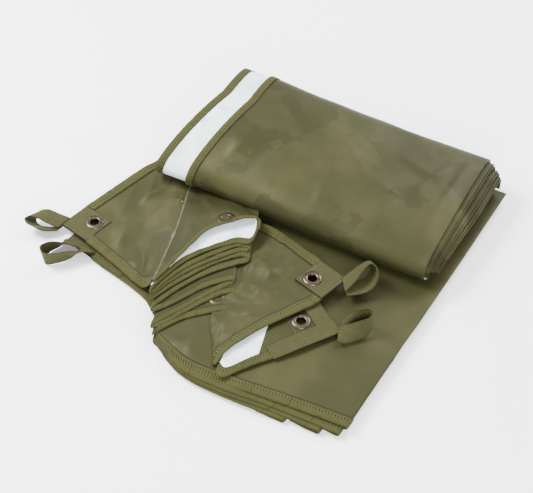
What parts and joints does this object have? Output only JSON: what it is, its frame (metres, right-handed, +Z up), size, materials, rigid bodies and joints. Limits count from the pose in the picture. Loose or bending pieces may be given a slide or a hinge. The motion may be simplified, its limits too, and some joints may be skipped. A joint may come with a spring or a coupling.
{
  "type": "folded rescue carrying sheet",
  "caption": "Folded limp carrying sheet: coated cloth with a pale lining, bound edges, webbing loops and eyelets on its corners, pleated and half rolled into a soft pack.",
  "frame": {"origin": "under the middle of the folded object's bounding box, on the surface it lies on", "axes": "+X to the right along the pack, +Y away from the viewer towards the pack, +Z up"},
  "size_m": [0.5778, 0.523, 0.0929],
  "materials": {
    "cloth": "satin",
    "lining": "matte",
    "binding": "matte",
    "webbing": "matte",
    "eyelet": "antique"
  },
  "bodies": {
    "root": {"base_leaf_bottom": "cloth", "base_pleat_1": "cloth", "base_pleat_2": "cloth", "base_pleat_3": "cloth", "base_leaf_top": "cloth", "binding_base_front": "binding", "panel_left_lower": "cloth", "panel_left_upper": "cloth", "panel_right_upper": "cloth", "pleat_leaf_top": "cloth", "pleat_leaf_2": "cloth", "pleat_leaf_3": "cloth", "pleat_leaf_4": "cloth", "pleat_leaf_5": "cloth", "binding_pleat_top": "binding", "binding_pleat_2": "binding", "binding_pleat_3": "binding", "binding_pleat_4": "binding", "binding_pleat_5": "binding", "eyelet_middle_upper": "eyelet", "eyelet_middle_lower": "eyelet"},
    "pack": {"pack_wrap": "cloth", "pack_lining": "lining", "pack_turn_2": "cloth", "pack_turn_3": "cloth", "pack_core": "cloth", "binding_pack_outer": "binding", "binding_pack_inner": "binding"},
    "flap_left_upper": {"flap_left_upper": "cloth", "patch_left_upper": "webbing", "eyelet_left_upper": "eyelet", "washer_left_upper": "eyelet", "binding_left_upper_back": "binding", "binding_left_upper_front": "binding"},
    "flap_left_lower": {"flap_left_lower": "cloth", "corner_left_lower": "webbing", "eyelet_left_lower": "eyelet", "washer_left_lower": "eyelet", "strap_left_lower": "webbing", "binding_left_lower": "binding"},
    "flap_right_upper": {"flap_right_upper": "cloth", "patch_right_upper": "webbing", "eyelet_right_upper": "eyelet", "washer_right_upper": "eyelet", "binding_right_upper_back": "binding", "binding_right_upper_front": "binding"},
    "flap_right_lower": {"flap_right_lower": "cloth", "corner_right_lower": "webbing", "eyelet_right_lower": "eyelet", "washer_right_lower": "eyelet", "binding_right_lower_front": "binding", "binding_right_lower_side": "binding", "strap_right_lower_front": "webbing", "strap_right_lower_side": "webbing"},
    "loop_left_upper": {"loop_left_upper": "webbing"},
    "loop_left_lower": {"loop_left_lower": "webbing"},
    "loop_right_upper": {"loop_right_upper": "webbing"},
    "loop_right_lower": {"loop_right_lower": "webbing"}
  },
  "joints": [
    {"name": "pack_fold", "type": "hinge", "parent": "root", "child": "pack", "pos_m": [0.05692, 0.25164, 0.01205], "axis": [-1, 0, 0], "range_deg": [0, 90]},
    {"name": "left_upper_lift", "type": "hinge", "parent": "root", "child": "flap_left_upper", "pos_m": [-0.19908, 0.04964, 0.01165], "axis": [-0.5, 0.866, 0], "range_deg": [0, 80]},
    {"name": "left_lower_lift", "type": "hinge", "parent": "root", "child": "flap_left_lower", "pos_m": [-0.19908, 0.04964, 0.00365], "axis": [-0.5, 0.866, 0], "range_deg": [0, 24]},
    {"name": "right_upper_lift", "type": "hinge", "parent": "root", "child": "flap_right_upper", "pos_m": [0.03692, 0.00764, 0.02145], "axis": [0.1713, -0.9852, 0], "range_deg": [0, 80]},
    {"name": "right_lower_lift", "type": "hinge", "parent": "root", "child": "flap_right_lower", "pos_m": [0.03692, 0.00764, 0.01725], "axis": [0.1713, -0.9852, 0], "range_deg": [0, 24]},
    {"name": "loop_left_upper_lift", "type": "hinge", "parent": "flap_left_upper", "child": "loop_left_upper", "pos_m": [-0.24008, -0.10436, 0.01165], "axis": [0.2251, 0.9743, 0], "range_deg": [0, 60]},
    {"name": "loop_left_lower_lift", "type": "hinge", "parent": "flap_left_lower", "child": "loop_left_lower", "pos_m": [-0.20508, -0.13136, 0.00405], "axis": [-0.9743, 0.2251, 0], "range_deg": [0, 35]},
    {"name": "loop_right_upper_lift", "type": "hinge", "parent": "flap_right_upper", "child": "loop_right_upper", "pos_m": [0.16792, -0.03636, 0.02765], "axis": [0.8, -0.6, 0], "range_deg": [0, 60]},
    {"name": "loop_right_lower_lift", "type": "hinge", "parent": "flap_right_lower", "child": "loop_right_lower", "pos_m": [0.19792, -0.11036, 0.02005], "axis": [0.3522, -0.9359, 0], "range_deg": [0, 60]}
  ],
  "couplings": [
    {"joint": "left_lower_lift", "follows": "left_upper_lift", "ratio": 0.3},
    {"joint": "right_lower_lift", "follows": "right_upper_lift", "ratio": 0.3}
  ]
}
